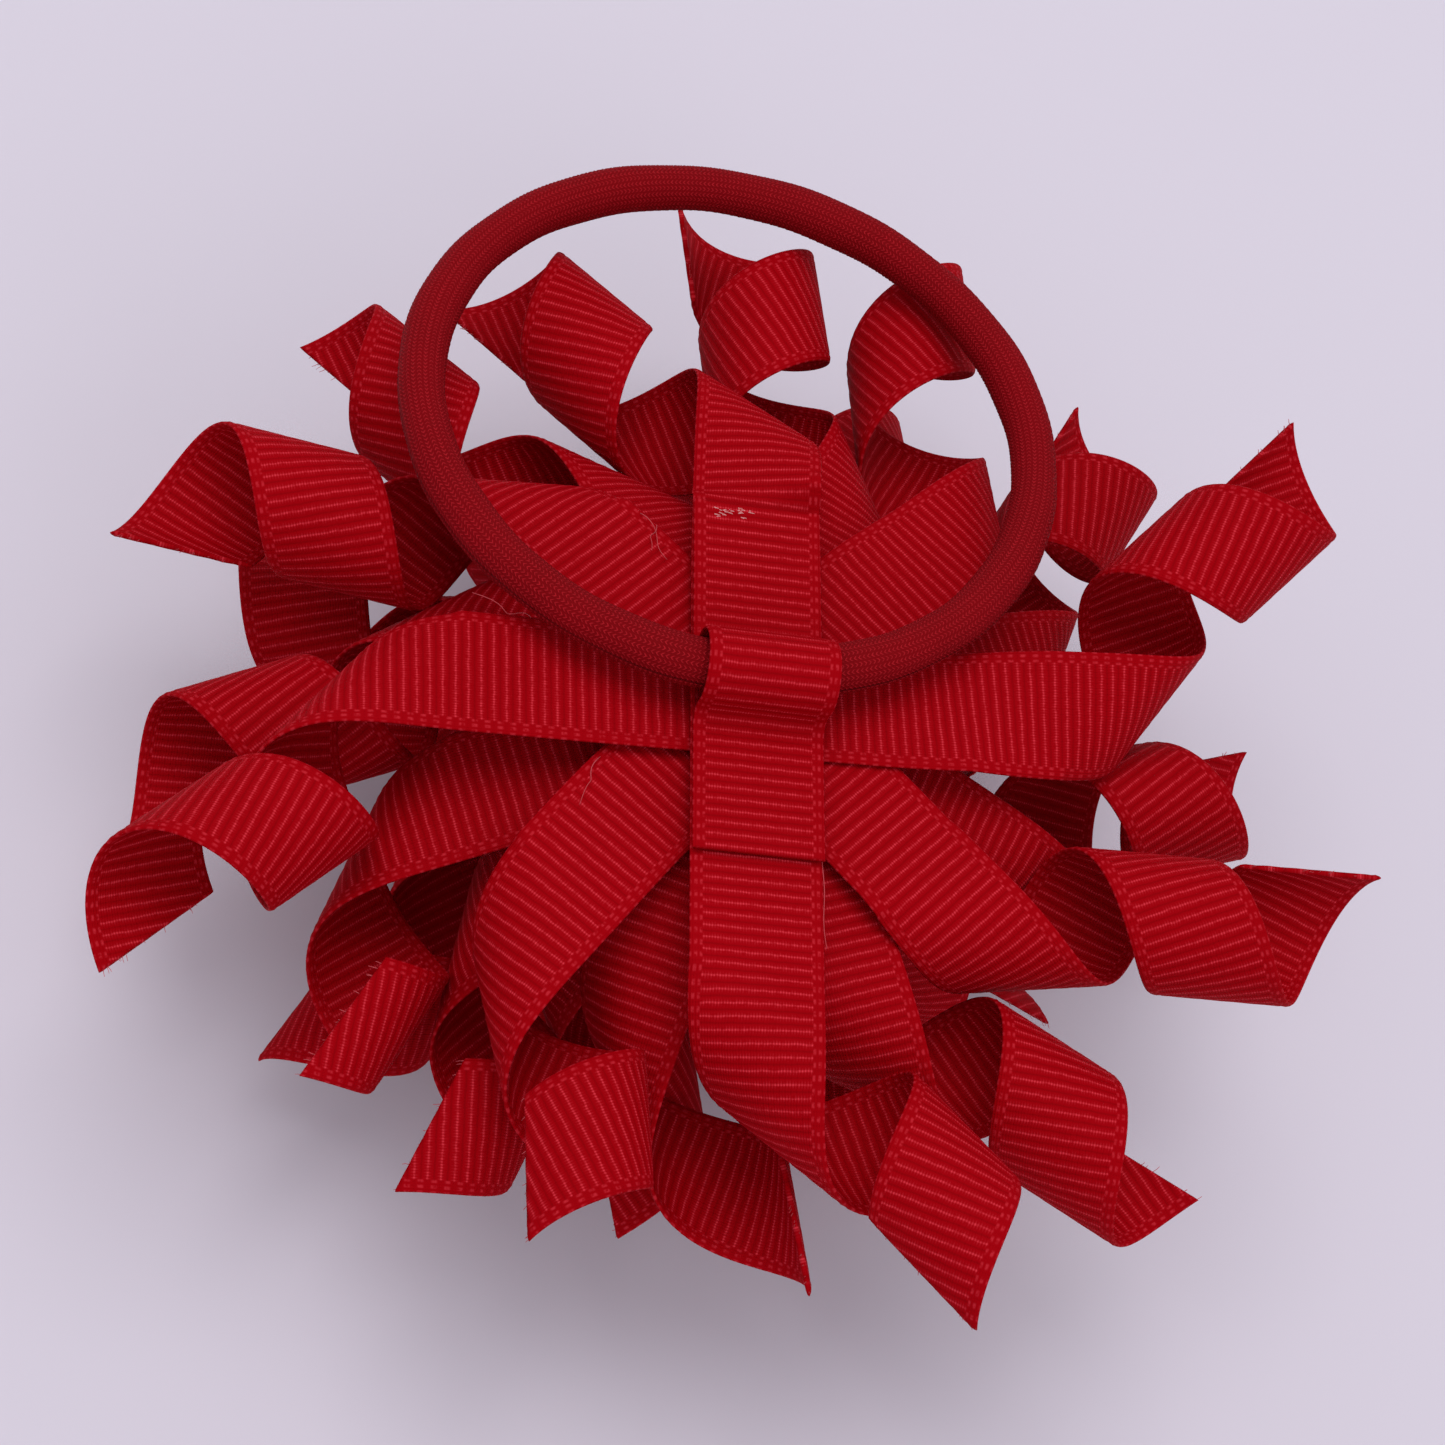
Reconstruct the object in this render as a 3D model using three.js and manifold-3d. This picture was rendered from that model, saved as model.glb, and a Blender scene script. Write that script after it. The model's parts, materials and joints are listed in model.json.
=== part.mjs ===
// A curled-ribbon bow on a round elastic tie, lying face down with its back up.
// Fifteen lengths of grosgrain ribbon cross at the middle, and both ends of each are curled.
// A short strap is glued across the top of the stack, and the tie swings in the tunnel below it.
// Millimetres and degrees, +Z up. The work is done round the pivot of the tie, and the whole
// bow is moved at the end, so that its origin is the middle of the box's underside.
import * as THREE from "three";
import * as BufferGeometryUtils from "three/addons/utils/BufferGeometryUtils.js";
import Module from "manifold-3d";

// Ribbon
const RIBBON_WIDTH = 10;
const RIBBON_THICKNESS = 0.36;
const LAYER_PITCH = 0.6;
const TOP_LAYER_Z = -3.3;
const PATH_STEP = 1.5;
const SECTION_SPACING = 2.4;
const BEND_PARTS = 4;
const CUT_SLANT = 4.5;

// Each end leaves the middle level, bends down, runs straight, then winds up into a curl.
const LEVEL_RUN = 9;
const LOWEST_BEND_RUN = 4;
const BEND_RUN_PER_LAYER = 0.3;
const CURL_RADIUS = 5;
const CURL_GROWTH = 0.2;
const WIND_UP_RUN = 5;
const HELIX_SETTLE_RUN = 30;
const FAN_RATE = 0.16;

// Elastic tie
const CORD_RADIUS = 1.9;
const COVER_WALL = 0.75;
const CORE_RADIUS = 1.0;
const TIE_RADIUS = 24.5;
const TIE_HEADING = 4;
const TIE_TILT = 8;
const COVER_GAP_ANGLE = 3;
const CORE_GAP_ANGLE = 7.5;
const COVER_SIDES = 10;
const COVER_SECTIONS = 49;
const CORE_SIDES = 8;
const CORE_SECTIONS = 48;
const JOINT_SLEEVE_RADIUS = 2.15;
const JOINT_SLEEVE_WALL = 0.15;
const JOINT_SLEEVE_ANGLE = 9;
const JOINT_SLEEVE_SECTIONS = 5;

// Strap over the tie
const TUNNEL_RADIUS = 3.1;
const STRAP_FILLET = 1.2;
const FILLET_STEPS = 4;
const ARCH_STEPS = 16;
const STRAP_NEAR_END = -13.7;
const STRAP_FAR_END = 15.8;
const SEAT_GAP = 0.05;
const GLUE_THICKNESS = 0.25;
const GLUE_WIDTH = 8;
const GLUE_MARGIN = 1;

// Stitch through the stack
const THREAD_RADIUS = 0.2;
const NEEDLE_HOLE_RADIUS = 0.55;
const STITCH_HALF_SPAN = 1.5;
const THREAD_SIDES = 8;

const COLOURS = {
  ribbon: { color: 0xb5081c, roughness: 0.62, metalness: 0 },
  strap: { color: 0xb5081c, roughness: 0.6, metalness: 0 },
  elastic: { color: 0x8c0716, roughness: 0.8, metalness: 0 },
  rubber: { color: 0xd9cdb8, roughness: 0.7, metalness: 0 },
  sleeve: { color: 0x7a0613, roughness: 0.5, metalness: 0 },
  glue: { color: 0xe8dcc8, roughness: 0.3, metalness: 0 },
  thread: { color: 0xa00618, roughness: 0.7, metalness: 0 },
};

// One end of a ribbon: turn is a sideways turn in the plane of the ribbon, dive the bend down,
// flat the distance to the start of the curl, length the distance to the cut, twist the roll
// of the straight run, and lead and helix the winding angle where the curl starts and settles.
function ribbonEnd(turn, dive, flat, length, lead, helix, twist) {
  return { turn, dive, flat, length, lead, helix, twist };
}

// The ribbons from the back of the bow down to its face. Heading is the direction of the far
// end, counted from +X towards +Y.
const STRANDS = [
  {
    name: "ribbon_01_upright",
    layer: 0,
    heading: 90,
    far: ribbonEnd(-2, 0, 18.5, 80, 42, 25, -18),
    near: ribbonEnd(0, 0, 22, 70, 46, 24, 0),
  },
  {
    name: "ribbon_02_level",
    layer: 1,
    heading: 2,
    far: ribbonEnd(4, 1, 24, 85, 46, 23, 18),
    near: ribbonEnd(0, -1, 22, 80, 46, 23, 0),
  },
  {
    name: "ribbon_03_falling",
    layer: 2,
    heading: 135,
    far: ribbonEnd(-1, 8, 18.5, 80, 49, 23, 0),
    near: ribbonEnd(0, 0, 18, 85, 46, 23, 3),
  },
  {
    name: "ribbon_04_rising",
    layer: 3,
    heading: 48,
    far: ribbonEnd(-5, 3, 22, 80, 40, 32, -8),
    near: ribbonEnd(4, 4, 20, 65, 47, 23, 1),
  },
  {
    name: "ribbon_05_steep_left",
    layer: 4,
    heading: 110,
    far: ribbonEnd(1, 20, 17.5, 75, 58, 26, 4),
    near: ribbonEnd(-1, 8, 19.5, 80, 47, 23, 1),
  },
  {
    name: "ribbon_06_steep_right",
    layer: 5,
    heading: 67,
    far: ribbonEnd(-4, 13, 19, 85, 54, 24, 0),
    near: ribbonEnd(8, 26, 19, 55, 60, 29, 7),
  },
  {
    name: "ribbon_07_low_left",
    layer: 6,
    heading: 157,
    far: ribbonEnd(0, 19, 18, 80, 46, 23, -5),
    near: ribbonEnd(0, 16, 18, 80, 46, 23, 0),
  },
  {
    name: "ribbon_08_low_right",
    layer: 7,
    heading: 22,
    far: ribbonEnd(-1, 16, 23, 85, 48, 23, 6),
    near: ribbonEnd(-4, 17, 22, 60, 46, 23, 0),
  },
  {
    name: "ribbon_09_lower_rising",
    layer: 8,
    heading: 46,
    far: ribbonEnd(-2, 27, 23, 85, 48, 29, -14),
    near: ribbonEnd(-13, 27, 18, 60, 54, 23, 0),
  },
  {
    name: "ribbon_10_face_upright",
    layer: 9,
    heading: 92,
    far: ribbonEnd(-1, 45, 17, 70, 56, 23, -4),
    near: ribbonEnd(5, 41, 16, 60, 59, 25, 7),
  },
  {
    name: "ribbon_11_face_rising",
    layer: 10,
    heading: 47,
    far: ribbonEnd(16, 47, 17, 70, 54, 30, 2),
    near: ribbonEnd(9, 46, 16.5, 60, 45, 26, -13),
  },
  {
    name: "ribbon_12_face_level",
    layer: 11,
    heading: 2,
    far: ribbonEnd(1, 44, 16, 70, 48, 23, -10),
    near: ribbonEnd(13, 43, 16, 65, 58, 26, -15),
  },
  {
    name: "ribbon_13_face_falling",
    layer: 12,
    heading: 137,
    far: ribbonEnd(-2, 40, 19, 65, 54, 22, 16),
    near: ribbonEnd(-6, 55, 18, 60, 60, 32, -14),
  },
  {
    name: "ribbon_14_crown_level",
    layer: 13,
    heading: 20,
    far: ribbonEnd(0, 68, 16, 60, 39, 25, -22),
    near: ribbonEnd(-6, 76, 16, 60, 56, 23, -18),
  },
  {
    name: "ribbon_15_crown_upright",
    layer: 14,
    heading: 110,
    far: ribbonEnd(0, 63, 15, 60, 54, 24, -20),
    near: ribbonEnd(-1, 69, 14.5, 60, 40, 30, 2),
  },
];

const radians = THREE.MathUtils.degToRad;

// The bends nest: an upper ribbon takes a longer way round than the ribbons under it.
function bendRun(layer) {
  return LOWEST_BEND_RUN + BEND_RUN_PER_LAYER * (STRANDS.length - 1 - layer);
}

// Rate of turn of the ribbon's own frame (along, across, normal) at a distance from the middle.
function bendRate(end, layer, distance, frame) {
  const rate = new THREE.Vector3();
  const straightStart = LEVEL_RUN + bendRun(layer);
  if (distance < LEVEL_RUN) return rate;
  if (distance < straightStart) {
    rate.addScaledVector(frame.across, radians(end.dive) / bendRun(layer));
    rate.addScaledVector(frame.normal, radians(end.turn) / bendRun(layer));
    return rate;
  }
  if (distance < end.flat) {
    return rate.addScaledVector(frame.along, radians(end.twist) / (end.flat - straightStart));
  }
  const wound = distance - end.flat;
  const share = Math.min(1, wound / (end.length - end.flat));
  const radius = CURL_RADIUS + CURL_GROWTH * share;
  const helix = windingAngle(end, wound);
  const strength = Math.min(1, wound / WIND_UP_RUN) * Math.cos(helix) / radius;
  rate.addScaledVector(frame.along, strength * Math.sin(helix));
  rate.addScaledVector(frame.across, strength * Math.cos(helix));
  return rate;
}

// Frames along one end, from the middle of the bow outwards.
function ribbonPath(heading, end, layer) {
  const angle = radians(heading);
  const along = new THREE.Vector3(Math.cos(angle), Math.sin(angle), 0);
  const normal = new THREE.Vector3(0, 0, 1);
  const across = new THREE.Vector3().crossVectors(normal, along);
  let frame = { point: new THREE.Vector3(0, 0, layerHeight(layer)), along, across, normal };
  const frames = [frame];
  const steps = Math.ceil((end.length + CUT_SLANT / 2) / PATH_STEP) + 1;
  for (let step = 0; step < steps; step += 1) {
    const rate = bendRate(end, layer, (step + 0.5) * PATH_STEP, frame);
    const turnAngle = rate.length() * PATH_STEP;
    const axis = turnAngle > 1e-9 ? rate.clone().normalize() : frame.normal;
    const halfWay = frame.along.clone().applyAxisAngle(axis, turnAngle / 2);
    frame = {
      point: frame.point.clone().addScaledVector(halfWay, PATH_STEP),
      along: frame.along.clone().applyAxisAngle(axis, turnAngle),
      across: frame.across.clone().applyAxisAngle(axis, turnAngle),
      normal: frame.normal.clone().applyAxisAngle(axis, turnAngle),
    };
    frames.push(frame);
  }
  return frames;
}

// Winding angle of the curl, in radians, at a distance wound from its start.
function windingAngle(end, wound) {
  const settled = Math.min(1, wound / HELIX_SETTLE_RUN);
  return radians(end.lead + (end.helix - end.lead) * settled);
}

// A curled ribbon is straight along its curl's axis. This is how far that line leans along the
// ribbon. Where the curl starts, the lines fan out from square.
function lineSlant(end, distance) {
  const wound = Math.max(0, distance - end.flat);
  return Math.min(windingAngle(end, wound), Math.atan(FAN_RATE * wound));
}

// The path's frame at any distance, between its computed frames.
function frameAt(frames, distance) {
  const place = distance / PATH_STEP;
  const index = Math.min(Math.floor(place), frames.length - 2);
  const share = place - index;
  const blend = (name) => frames[index][name].clone().lerp(frames[index + 1][name], share);
  return { point: blend("point"), along: blend("along"), across: blend("across"), normal: blend("normal") };
}

// Four corners of the ribbon along a line that leans by slant.
function ribbonSection(frames, distance, slant) {
  const { point, along, across, normal } = frameAt(frames, distance);
  const edge = across.addScaledVector(along, Math.tan(slant)).multiplyScalar(RIBBON_WIDTH / 2);
  const lift = normal.multiplyScalar(RIBBON_THICKNESS / 2);
  return [
    point.clone().add(edge).add(lift),
    point.clone().sub(edge).add(lift),
    point.clone().sub(edge).sub(lift),
    point.clone().add(edge).sub(lift),
  ];
}

// Sections of one end, ordered outwards, ending in a slanted cut.
function endSections(heading, end, layer) {
  const frames = ribbonPath(heading, end, layer);
  const straightStart = LEVEL_RUN + bendRun(layer);
  const stations = [];
  for (let part = 0; part < BEND_PARTS; part += 1) {
    stations.push(LEVEL_RUN + bendRun(layer) * part / BEND_PARTS);
  }
  const spacings = Math.max(1, Math.round((end.flat - straightStart) / SECTION_SPACING));
  for (let part = 0; part < spacings; part += 1) {
    stations.push(straightStart + (end.flat - straightStart) * part / spacings);
  }
  for (let distance = end.flat; distance < end.length - PATH_STEP; distance += SECTION_SPACING) {
    stations.push(distance);
  }
  const sections = stations.map((distance) => ribbonSection(frames, distance, lineSlant(end, distance)));
  sections.push(ribbonSection(frames, end.length, Math.atan(CUT_SLANT / RIBBON_WIDTH)));
  return sections;
}

// The same section seen from the other end of the ribbon.
function reversedSection([topLeft, topRight, bottomRight, bottomLeft]) {
  return [topRight, topLeft, bottomLeft, bottomRight];
}

// A closed strip through a list of sections. The first half of each section's sides is parted
// one way and the second half the other, so that a twisted strip keeps its thickness.
function loft(sections, closed = false) {
  const positions = [];
  const indices = [];
  const sides = sections[0].length;
  sections.forEach((section) => section.forEach((corner) => positions.push(corner.x, corner.y, corner.z)));
  const spans = closed ? sections.length : sections.length - 1;
  for (let span = 0; span < spans; span += 1) {
    const near = span * sides;
    const far = ((span + 1) % sections.length) * sides;
    for (let side = 0; side < sides; side += 1) {
      const next = (side + 1) % sides;
      if (side < sides / 2) {
        indices.push(near + side, near + next, far + next, near + side, far + next, far + side);
      } else {
        indices.push(near + side, near + next, far + side, near + next, far + next, far + side);
      }
    }
  }
  if (!closed) {
    const last = (sections.length - 1) * sides;
    for (let side = 1; side < sides - 1; side += 1) {
      indices.push(0, side + 1, side);
      indices.push(last, last + side, last + side + 1);
    }
  }
  return outwardGeometry(positions, indices);
}

// Signed volume under the triangles, used to turn the faces outwards.
function signedVolume(positions, indices) {
  const corner = (index) => new THREE.Vector3().fromArray(positions, index * 3);
  let volume = 0;
  for (let start = 0; start < indices.length; start += 3) {
    const [a, b, c] = [corner(indices[start]), corner(indices[start + 1]), corner(indices[start + 2])];
    volume += a.dot(b.cross(c)) / 6;
  }
  return volume;
}

function outwardGeometry(positions, indices) {
  const geometry = new THREE.BufferGeometry();
  const facing = signedVolume(positions, indices) > 0 ? indices : indices.slice().reverse();
  geometry.setAttribute("position", new THREE.Float32BufferAttribute(positions, 3));
  geometry.setIndex(facing);
  return geometry;
}

// Booleans, for the needle holes only.
const wasm = await Module();
wasm.setup();

function toManifold(geometry) {
  const bare = geometry.clone();
  bare.deleteAttribute("normal");
  bare.deleteAttribute("uv");
  const merged = BufferGeometryUtils.mergeVertices(bare);
  const vertProperties = new Float32Array(merged.attributes.position.array);
  const triVerts = new Uint32Array(merged.index.array);
  return new wasm.Manifold(new wasm.Mesh({ numProp: 3, vertProperties, triVerts }));
}

function fromManifold(solid) {
  const mesh = solid.getMesh();
  const geometry = new THREE.BufferGeometry();
  geometry.setAttribute("position", new THREE.Float32BufferAttribute(mesh.vertProperties, 3));
  geometry.setIndex(Array.from(mesh.triVerts));
  return geometry;
}

// A needle hole reaches through the whole stack, and as far again above it.
function needleHole(x) {
  const depth = 2 * (STRANDS.length + 1) * LAYER_PITCH;
  const hole = new THREE.CylinderGeometry(NEEDLE_HOLE_RADIUS, NEEDLE_HOLE_RADIUS, depth, THREAD_SIDES);
  hole.rotateX(Math.PI / 2);
  hole.translate(x, 0, TOP_LAYER_Z);
  return toManifold(hole);
}

function layerHeight(layer) {
  return TOP_LAYER_Z - layer * LAYER_PITCH;
}

// One ribbon from cut to cut, pierced by the two needle holes.
function strandGeometry(strand) {
  const farEnd = endSections(strand.heading, strand.far, strand.layer);
  const nearEnd = endSections(strand.heading + 180, strand.near, strand.layer);
  const sections = [...nearEnd.reverse().map(reversedSection), ...farEnd];
  let solid = toManifold(loft(sections));
  for (const side of [-1, 1]) {
    solid = solid.subtract(needleHole(side * STITCH_HALF_SPAN));
  }
  return fromManifold(solid);
}

// Centre line of the strap as seen from its side: flap, fillet, arch over the cord, fillet, flap.
function strapLine() {
  const arch = TUNNEL_RADIUS + RIBBON_THICKNESS / 2;
  const flapZ = flapHeight();
  const filletZ = flapZ + STRAP_FILLET;
  const filletY = Math.sqrt((arch + STRAP_FILLET) ** 2 - filletZ ** 2);
  const lean = Math.atan2(filletZ, filletY);
  const line = [{ y: STRAP_FAR_END, z: flapZ, tilt: Math.PI / 2 }];
  for (let step = 0; step <= FILLET_STEPS; step += 1) {
    const tilt = -Math.PI / 2 - (Math.PI / 2 + lean) * step / FILLET_STEPS;
    const y = filletY + STRAP_FILLET * Math.cos(tilt);
    line.push({ y, z: filletZ + STRAP_FILLET * Math.sin(tilt), tilt: tilt + Math.PI });
  }
  for (let step = 1; step < ARCH_STEPS; step += 1) {
    const tilt = lean + (Math.PI - 2 * lean) * step / ARCH_STEPS;
    line.push({ y: arch * Math.cos(tilt), z: arch * Math.sin(tilt), tilt });
  }
  for (let step = FILLET_STEPS; step >= 0; step -= 1) {
    const tilt = -Math.PI / 2 + (Math.PI / 2 + lean) * step / FILLET_STEPS;
    const y = -filletY + STRAP_FILLET * Math.cos(tilt);
    line.push({ y, z: filletZ + STRAP_FILLET * Math.sin(tilt), tilt: tilt + Math.PI });
  }
  line.push({ y: STRAP_NEAR_END, z: flapZ, tilt: Math.PI / 2 });
  return line;
}

function flapHeight() {
  const stackTop = TOP_LAYER_Z + RIBBON_THICKNESS / 2;
  return stackTop + 2 * SEAT_GAP + GLUE_THICKNESS + RIBBON_THICKNESS / 2;
}

function strapGeometry() {
  const half = RIBBON_WIDTH / 2;
  const lift = RIBBON_THICKNESS / 2;
  const sections = strapLine().map(({ y, z, tilt }) => {
    const out = new THREE.Vector3(0, Math.cos(tilt), Math.sin(tilt)).multiplyScalar(lift);
    const corner = (x, sign) => new THREE.Vector3(x, y, z).addScaledVector(out, sign);
    return [corner(-half, 1), corner(half, 1), corner(half, -1), corner(-half, -1)];
  });
  return loft(sections);
}

// Glue between a flap of the strap and the ribbon under it.
function glueGeometry(innerY, outerY) {
  const length = Math.abs(outerY - innerY) - 2 * GLUE_MARGIN;
  const pad = new THREE.BoxGeometry(GLUE_WIDTH, length, GLUE_THICKNESS);
  const stackTop = TOP_LAYER_Z + RIBBON_THICKNESS / 2;
  pad.translate(0, (innerY + outerY) / 2, stackTop + SEAT_GAP + GLUE_THICKNESS / 2);
  return pad;
}

// Sections of a tube round the tie's circle. The circle starts at the pivot and runs round +Y.
function tieSections(radius, startAngle, endAngle, count, sides) {
  const sections = [];
  for (let step = 0; step < count; step += 1) {
    const angle = radians(startAngle + (endAngle - startAngle) * step / (count - 1));
    const outward = new THREE.Vector3(Math.sin(angle), -Math.cos(angle), 0);
    const centre = outward.clone().multiplyScalar(TIE_RADIUS).add(new THREE.Vector3(0, TIE_RADIUS, 0));
    const section = [];
    for (let side = 0; side < sides; side += 1) {
      const turn = 2 * Math.PI * side / sides;
      const corner = centre.clone().addScaledVector(outward, radius * Math.cos(turn));
      corner.z += radius * Math.sin(turn);
      section.push(corner);
    }
    sections.push(section);
  }
  return sections;
}

// A pipe open at both ends: the outer wall forwards, the bore back again, as one closed skin.
function pipeGeometry(outerRadius, innerRadius, startAngle, endAngle, count, sides) {
  const outer = tieSections(outerRadius, startAngle, endAngle, count, sides);
  const inner = tieSections(innerRadius, startAngle, endAngle, count, sides);
  return loft([...outer, ...inner.reverse()], true);
}

function coverGeometry() {
  const inner = CORD_RADIUS - COVER_WALL;
  const end = 360 - COVER_GAP_ANGLE;
  return pipeGeometry(CORD_RADIUS, inner, COVER_GAP_ANGLE, end, COVER_SECTIONS, COVER_SIDES);
}

function coreGeometry() {
  const sections = tieSections(CORE_RADIUS, 0, 360 - CORE_GAP_ANGLE, CORE_SECTIONS, CORE_SIDES);
  return loft(sections, true);
}

function sleeveGeometry() {
  const inner = JOINT_SLEEVE_RADIUS - JOINT_SLEEVE_WALL;
  const end = JOINT_SLEEVE_ANGLE;
  return pipeGeometry(JOINT_SLEEVE_RADIUS, inner, -end, end, JOINT_SLEEVE_SECTIONS, COVER_SIDES);
}

// A closed stitch: down one hole, across under the stack, up the other, and across on top.
function stitchGeometry() {
  const top = TOP_LAYER_Z + RIBBON_THICKNESS / 2 + THREAD_RADIUS + SEAT_GAP;
  const lowest = TOP_LAYER_Z - (STRANDS.length - 1) * LAYER_PITCH;
  const bottom = lowest - RIBBON_THICKNESS / 2 - THREAD_RADIUS - SEAT_GAP;
  const corners = [[-1, top], [1, top], [1, bottom], [-1, bottom]];
  const sections = corners.map(([side, z]) => {
    const centre = new THREE.Vector3(side * STITCH_HALF_SPAN, 0, z);
    const outward = new THREE.Vector3(side, 0, z === top ? 1 : -1);
    const section = [];
    for (let index = 0; index < THREAD_SIDES; index += 1) {
      const turn = 2 * Math.PI * (index + 0.5) / THREAD_SIDES;
      const corner = centre.clone().addScaledVector(outward, THREAD_RADIUS * Math.cos(turn));
      corner.y += THREAD_RADIUS * Math.sin(turn);
      section.push(corner);
    }
    return section;
  });
  return loft(sections, true);
}

function addPart(group, name, geometry, look) {
  geometry.computeVertexNormals();
  const mesh = new THREE.Mesh(geometry, new THREE.MeshStandardMaterial(COLOURS[look]));
  mesh.name = name;
  group.add(mesh);
  return mesh;
}

function buildStrands(group) {
  STRANDS.forEach((strand) => addPart(group, strand.name, strandGeometry(strand), "ribbon"));
}

function buildStrap(group) {
  const archEnd = TUNNEL_RADIUS + STRAP_FILLET;
  addPart(group, "tie_strap", strapGeometry(), "strap");
  addPart(group, "far_glue_pad", glueGeometry(archEnd, STRAP_FAR_END), "glue");
  addPart(group, "near_glue_pad", glueGeometry(-archEnd, STRAP_NEAR_END), "glue");
  addPart(group, "stack_stitch", stitchGeometry(), "thread");
}

function buildTie(group) {
  const tie = new THREE.Group();
  tie.rotation.set(radians(-TIE_TILT), 0, radians(TIE_HEADING), "ZYX");
  addPart(tie, "elastic_cover", coverGeometry(), "elastic");
  addPart(tie, "elastic_core", coreGeometry(), "rubber");
  addPart(tie, "elastic_joint_sleeve", sleeveGeometry(), "sleeve");
  group.add(tie);
}

function buildBow() {
  const bow = new THREE.Group();
  buildStrands(bow);
  buildStrap(bow);
  buildTie(bow);
  bow.updateMatrixWorld(true);
  const box = new THREE.Box3().setFromObject(bow, true);
  const middle = box.getCenter(new THREE.Vector3());
  bow.position.set(-middle.x, -middle.y, -box.min.z);
  return bow;
}

export default buildBow();
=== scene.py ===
"""A curled-ribbon bow on a round elastic tie, face down on a pale table, seen from its back."""
import json
import math
import random

import bpy
import numpy as np
from mathutils import Matrix, Vector


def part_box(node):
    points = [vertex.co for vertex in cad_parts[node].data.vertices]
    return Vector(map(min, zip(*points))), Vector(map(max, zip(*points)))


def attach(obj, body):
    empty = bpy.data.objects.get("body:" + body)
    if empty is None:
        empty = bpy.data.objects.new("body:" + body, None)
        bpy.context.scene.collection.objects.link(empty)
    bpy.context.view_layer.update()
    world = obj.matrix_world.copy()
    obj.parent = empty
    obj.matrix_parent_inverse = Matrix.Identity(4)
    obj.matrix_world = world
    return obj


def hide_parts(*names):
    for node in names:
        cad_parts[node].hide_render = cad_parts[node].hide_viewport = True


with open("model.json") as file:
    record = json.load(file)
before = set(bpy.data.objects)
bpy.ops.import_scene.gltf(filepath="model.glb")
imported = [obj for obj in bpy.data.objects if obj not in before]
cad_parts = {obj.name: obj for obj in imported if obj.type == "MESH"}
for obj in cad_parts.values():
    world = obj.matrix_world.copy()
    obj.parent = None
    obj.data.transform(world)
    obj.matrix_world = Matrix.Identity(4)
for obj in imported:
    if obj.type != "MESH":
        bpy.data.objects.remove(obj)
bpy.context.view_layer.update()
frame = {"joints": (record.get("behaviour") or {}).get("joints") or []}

MM = 0.001
ROOT = "bow"
TIE = "tie"

# The pivot of the tie, which the bow is built round.
PIVOT = np.array(frame["joints"][0]["pos_m"])

# Ribbon, in millimetres and degrees, as in the design.
RIBBON_WIDTH = 10.0
RIBBON_THICKNESS = 0.36
LAYER_PITCH = 0.6
TOP_LAYER_Z = -3.3
PATH_STEP = 1.5
PATH_PARTS = 6
CUT_SLANT = 4.5
CUT_REACH = 6.0
LEVEL_RUN = 9.0
LOWEST_BEND_RUN = 4.0
BEND_RUN_PER_LAYER = 0.3
CURL_RADIUS = 5.0
CURL_GROWTH = 0.2
WIND_UP_RUN = 5.0
HELIX_SETTLE_RUN = 30.0
FAN_RATE = 0.16
LEAST_BEND_RATE = 1e-9
RISE_PER_MM = 1e-6

# Weave
RIB_PITCH = 0.95
RIB_STEPS = 4
RIB_HEIGHT = 0.07
SELVEDGE_WIDTH = 0.95
SELVEDGE_FADE = 0.15
SELVEDGE_ROW = 0.42
EDGE_ROUNDING = 0.25
WARP_PITCH = 0.21
WEAVE_SHIFT_PER_RIBBON = 0.31
STRAP_WEAVE_SHIFT = 0.2

# Loose ends
FRAY_PER_CUT = 12
FRAY_RADIUS = 0.035
FIBRE_RADIUS = 0.04
FIBRE_REFERENCE = np.array([0.31, 0.52, 0.79])
GLUE_SPECKS = 26
GLUE_SPECK_RADIUS = 0.055

# Elastic tie
CORD_RADIUS = 1.9
TIE_RADIUS = 24.5
TIE_HEADING = 4.0
TIE_TILT = 8.0
COVER_WALL = 0.75
COVER_GAP_ANGLE = 3.0
COVER_ROUNDS = 46
COVER_STATIONS = 1050
BRAID_COLUMN = 1.0
BRAID_PITCH = 0.36
BRAID_LEAN = 0.5
BRAID_HEIGHT = 0.07

# Strap over the tie
STRAP_ARCH_RADIUS = 2.75
STRAP_FILLET = 1.4
STRAP_RUN_STEPS = 60
STRAP_FILLET_STEPS = 16


def ribbon_end(turn, dive, flat, length, lead, helix, twist):
    """One end of a ribbon: turn is a sideways turn in the plane of the ribbon, dive the bend
    down, flat the distance to the start of the curl, length the distance to the cut, twist the
    roll of the straight run, and lead and helix the winding angle where the curl starts and
    settles."""
    return dict(turn=turn, dive=dive, flat=flat, length=length, lead=lead, helix=helix, twist=twist)


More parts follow.
